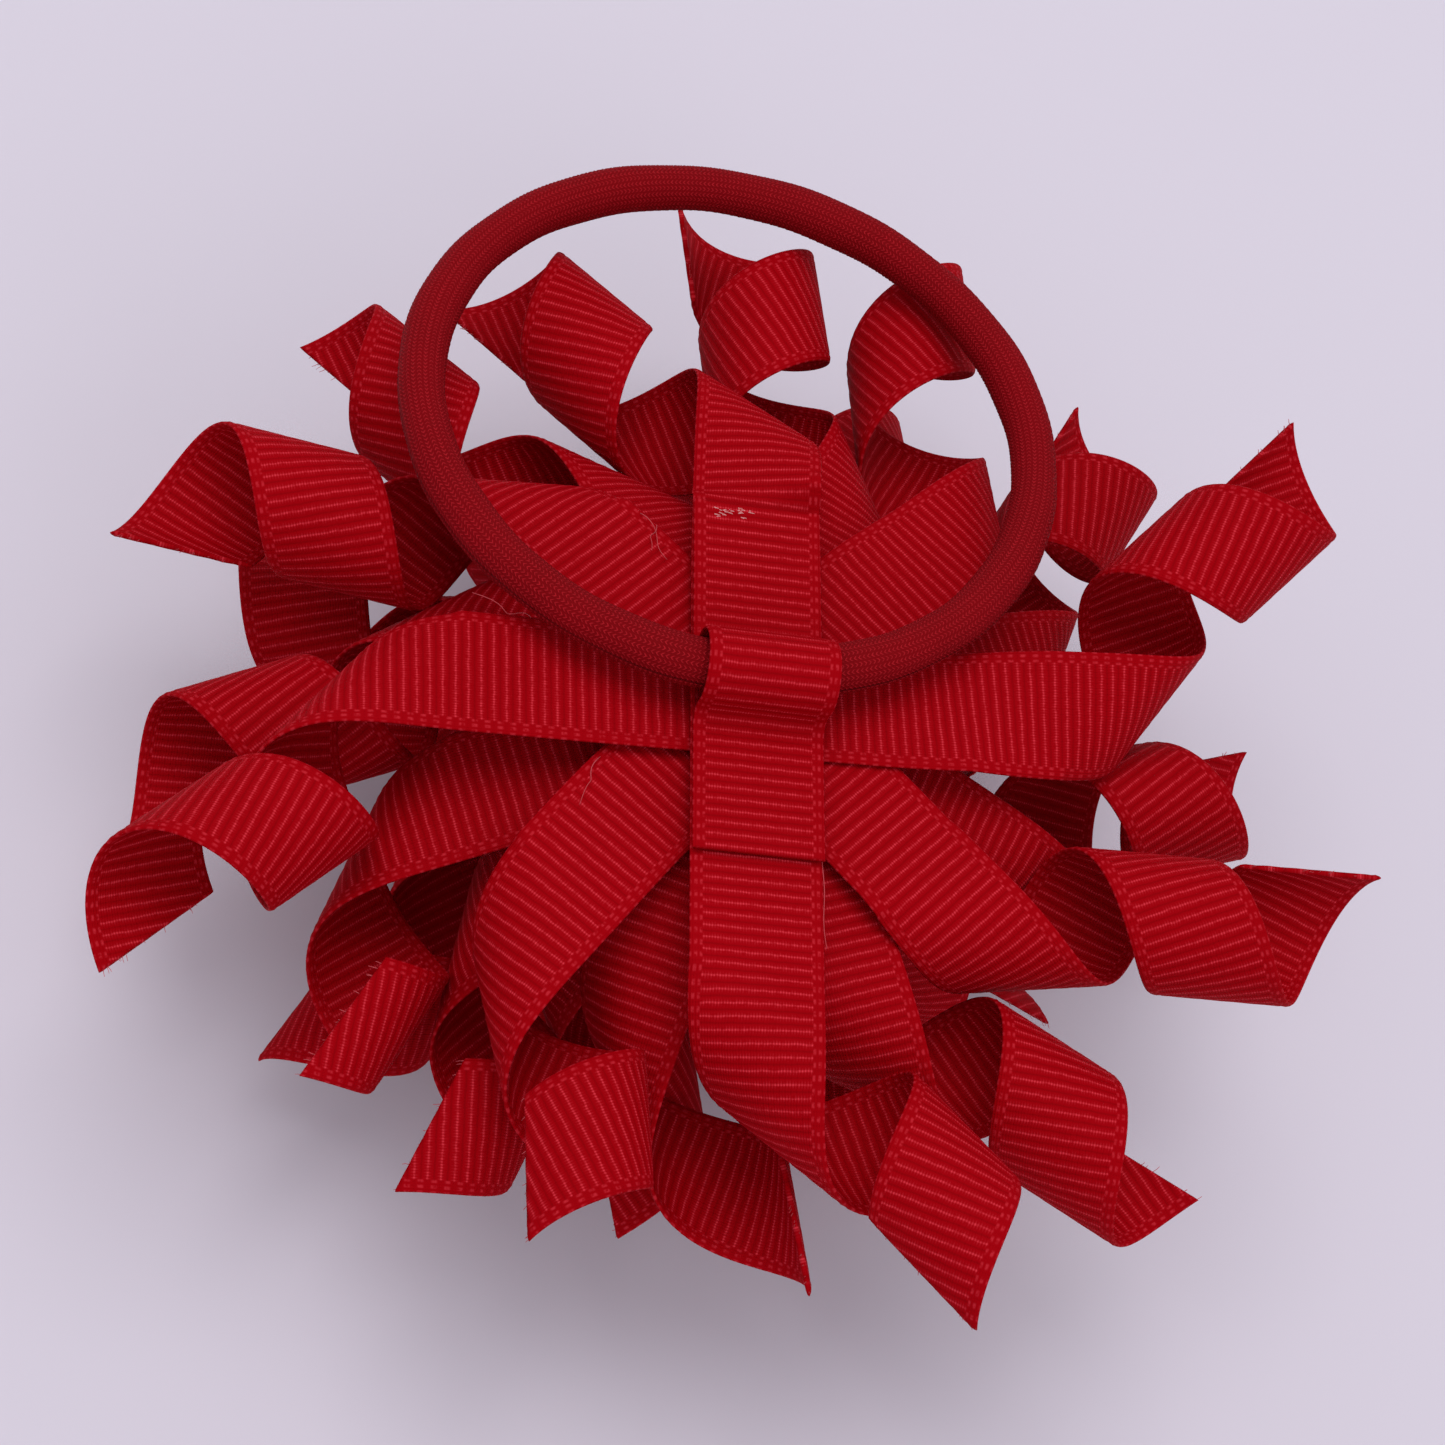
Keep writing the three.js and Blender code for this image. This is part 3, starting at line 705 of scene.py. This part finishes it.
def fibres(name, lines, radius):
    """Thin four-sided tubes along lines, as one piece."""
    vertices = []
    faces = []
    total = 0
    for line in lines:
        ahead = np.gradient(line, axis=0)
        ahead /= np.linalg.norm(ahead, axis=1)[:, None]
        side = np.cross(ahead, FIBRE_REFERENCE)
        side /= np.linalg.norm(side, axis=1)[:, None]
        up = np.cross(ahead, side)
        taper = np.linspace(1.0, 0.6, len(line))[:, None] * radius
        ring = [line + side * taper, line + up * taper, line - side * taper, line - up * taper]
        vertices.append(np.stack(ring, 1).reshape(-1, 3))
        grid = np.arange(len(line) * 4).reshape(-1, 4) + total
        after = np.roll(grid, -1, axis=1)
        wall = np.stack([grid[:-1], after[:-1], after[1:], grid[1:]], -1).reshape(-1, 4)
        faces.extend([wall, grid[:1, ::-1], grid[-1:]])
        total += len(line) * 4
    return quad_object(name, np.concatenate(vertices), np.concatenate(faces), {})


def surface_point(path, line_at, offset, woven):
    """A point on the ribbon's face, on the straight line that crosses its middle at line_at."""
    where = np.array([line_at])
    point = blended(path, "points", where)[0] + blended(path, "across", where)[0] * offset
    return point + blended(path, "along", where)[0] * (woven - line_at)


def build_fray(material):
    """Short fibres along every slanted cut."""
    chance = random.Random(41)
    lines = []
    for strand in STRANDS:
        path = whole_path(strand)
        for sign, end in ((-1.0, strand["near"]), (1.0, strand["far"])):
            for _ in range(FRAY_PER_CUT):
                offset = chance.uniform(-0.49, 0.49) * RIBBON_WIDTH
                line_at = sign * end["length"]
                cut = line_at + offset * CUT_SLANT / RIBBON_WIDTH
                root = surface_point(path, line_at, offset, cut - sign * 0.15)
                tip = surface_point(path, line_at, offset, cut + sign * chance.uniform(0.15, 0.6))
                tip = tip + np.array([chance.uniform(-0.12, 0.12) for _ in range(3)])
                lines.append(wavy(root, tip, 0.04, chance.random(), 4))
    piece = fibres("cut_fray", lines, FRAY_RADIUS)
    dress(piece, material)
    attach(piece, ROOT)


def build_loose_fibres(material):
    """Stray threads: one along the near upright ribbon's right edge, and some lint on the back."""
    paths = {strand["name"]: whole_path(strand) for strand in STRANDS}
    upright = paths["ribbon_01_upright"]
    falling = paths["ribbon_03_falling"]
    rising = paths["ribbon_04_rising"]
    level = paths["ribbon_02_level"]
    lines = [
        wavy(on_ribbon(upright, -11.0, -5.0, 0.3), on_ribbon(upright, -20.5, -5.1, 0.35), 0.25, 3, 26),
        wavy(on_ribbon(falling, 17.0, -4.6, 0.3), on_ribbon(falling, 12.5, -3.0, 0.6), 0.35, 5),
        wavy(on_ribbon(falling, 15.4, -4.8, 0.3), on_ribbon(falling, 13.8, -2.6, 0.7), 0.25, 8),
        wavy(on_ribbon(rising, -12.0, 4.5, 0.3), on_ribbon(rising, -16.0, 3.0, 0.6), 0.6, 12),
        wavy(on_ribbon(level, -17.0, 4.8, 0.3), on_ribbon(level, -21.5, 6.2, 0.7), 0.7, 15),
    ]
    piece = fibres("loose_fibres", lines, FIBRE_RADIUS)
    dress(piece, material)
    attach(piece, ROOT)


def build_glue_trace(material):
    """Dried specks of glue in a short row across the strap's far end."""
    chance = random.Random(19)
    low, high = (np.array(corner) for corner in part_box("tie_strap"))
    far = (high[1] - PIVOT[1]) / MM
    top = (low[2] - PIVOT[2]) / MM + RIBBON_THICKNESS
    lines = []
    for _ in range(GLUE_SPECKS):
        middle = np.array([chance.uniform(-3.6, -0.2), far - 0.9 + chance.gauss(0, 0.22), top])
        reach = np.array([chance.uniform(0.08, 0.26), chance.uniform(-0.05, 0.05), 0.0])
        lines.append(wavy(middle - reach, middle + reach, 0.03, chance.random(), 4))
    piece = fibres("glue_trace", lines, GLUE_SPECK_RADIUS)
    dress(piece, material)
    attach(piece, ROOT)


def dress_nodes():
    """The small inner pieces keep their shape and get finished surfaces."""
    looks = {
        "elastic_core": plain("natural_rubber", colour(196, 180, 150), colour(222, 208, 180), 500.0, 0.6),
        "elastic_joint_sleeve": plain("shrink_sleeve", colour(84, 0, 8), colour(116, 4, 14), 300.0, 0.45),
        "far_glue_pad": plain("hot_glue", colour(222, 208, 184), colour(240, 232, 214), 200.0, 0.25),
        "near_glue_pad": plain("hot_glue_near", colour(222, 208, 184), colour(240, 232, 214), 200.0, 0.25),
        "stack_stitch": spun_thread(),
    }
    for name, material in looks.items():
        dress(bpy.data.objects[name], material)


# Stage

# The camera looks down on the bow's back from its near side. The view's width is measured at
# the pivot, and the pivot is a little off the view's middle.
CAMERA_ELEVATION = 62.0
CAMERA_LEAN = 14.0
CAMERA_DISTANCE = 250.0
VIEW_WIDTH = 106.64
SENSOR = 36.0
SIDE_OFFSET = 3.28
UP_OFFSET = 3.73


def set_colours():
    """Plain display colours, without a film curve."""
    view = bpy.context.scene.view_settings
    view.view_transform = "Standard"
    view.look = "None"
    view.exposure = 0.0


def build_camera():
    lift = math.radians(CAMERA_ELEVATION)
    lean = math.radians(CAMERA_LEAN)
    lean_cos, lean_sin = math.cos(lean), math.sin(lean)
    sight = np.array([0.0, -math.cos(lift), math.sin(lift)])
    turn = np.array([[lean_cos, 0, -lean_sin], [0, 1, 0], [lean_sin, 0, lean_cos]])
    back = turn @ sight
    right = turn @ np.array([1.0, 0.0, 0.0])
    up = np.cross(back, right)
    place = back * CAMERA_DISTANCE - right * SIDE_OFFSET - up * UP_OFFSET
    data = bpy.data.cameras.new("camera")
    data.sensor_width = SENSOR
    data.lens = SENSOR * CAMERA_DISTANCE / VIEW_WIDTH
    data.clip_start = 0.01
    camera = bpy.data.objects.new("camera", data)
    bpy.context.collection.objects.link(camera)
    matrix = np.eye(4)
    matrix[:3, :3] = np.stack([right, up, back], axis=1)
    matrix[:3, 3] = PIVOT + place * MM
    camera.matrix_world = Matrix(matrix.tolist())
    bpy.context.scene.camera = camera


def area_light(name, place, size, power, tint):
    data = bpy.data.lights.new(name, "AREA")
    data.shape = "DISK"
    data.size = size
    data.energy = power
    data.color = tint
    light = bpy.data.objects.new(name, data)
    bpy.context.collection.objects.link(light)
    light.location = place
    aim = Vector((0.0, 0.0, 0.02)) - Vector(place)
    light.rotation_euler = aim.to_track_quat("-Z", "Y").to_euler()


def build_stage():
    bpy.ops.mesh.primitive_plane_add(size=3.0, location=(0.0, 0.0, -0.0002))
    floor = bpy.context.object
    floor.name = "table"
    dress(floor, table_top())
    world = bpy.context.scene.world or bpy.data.worlds.new("studio")
    bpy.context.scene.world = world
    world.use_nodes = True
    background = world.node_tree.nodes["Background"]
    background.inputs["Color"].default_value = (0.95, 0.95, 0.98, 1.0)
    background.inputs["Strength"].default_value = 0.66
    area_light("overhead", (-0.15, 0.3, 1.5), 1.1, 9.5, (1.0, 0.99, 0.97))
    area_light("front_fill", (0.5, -1.2, 1.0), 1.2, 3.0, (0.98, 0.98, 1.0))


def main():
    set_colours()
    build_camera()
    build_stage()
    ribbon = grosgrain()
    for index, strand in enumerate(STRANDS):
        build_strand(strand, ribbon, index)
    build_strap(ribbon)
    build_tie_cover(braid())
    loose = plain("stray_polyester", colour(176, 40, 52), colour(206, 84, 92), 700.0, 0.6)
    build_fray(loose)
    build_loose_fibres(loose)
    build_glue_trace(plain("glue_specks", colour(204, 110, 116), colour(228, 160, 160), 900.0, 0.35))
    dress_nodes()


main()
